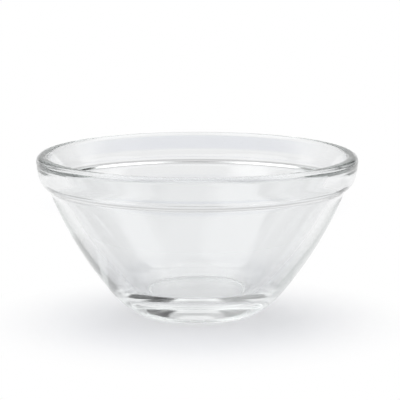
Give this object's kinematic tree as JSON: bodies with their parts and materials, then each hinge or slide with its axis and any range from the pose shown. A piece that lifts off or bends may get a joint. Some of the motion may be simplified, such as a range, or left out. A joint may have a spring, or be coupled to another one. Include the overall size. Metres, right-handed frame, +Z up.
{
  "type": "prep bowl",
  "caption": "Round clear glass prep bowl with a rounded lip, a stacking collar outside, a plain inside, a curved tapering wall and a thick base on a narrow foot ring.",
  "frame": {"origin": "centre of the foot ring, on the surface that the bowl stands on", "axes": "+Z up along the bowl's axis; X and Y lie in the plane of the foot ring, and the bowl looks the same all round"},
  "size_m": [0.105, 0.105, 0.0525],
  "materials": {
    "clear_glass": "clear, fire-polished, faintly green in thick places"
  },
  "bodies": {
    "root": {"glass_bowl": "clear_glass"}
  },
  "joints": []
}
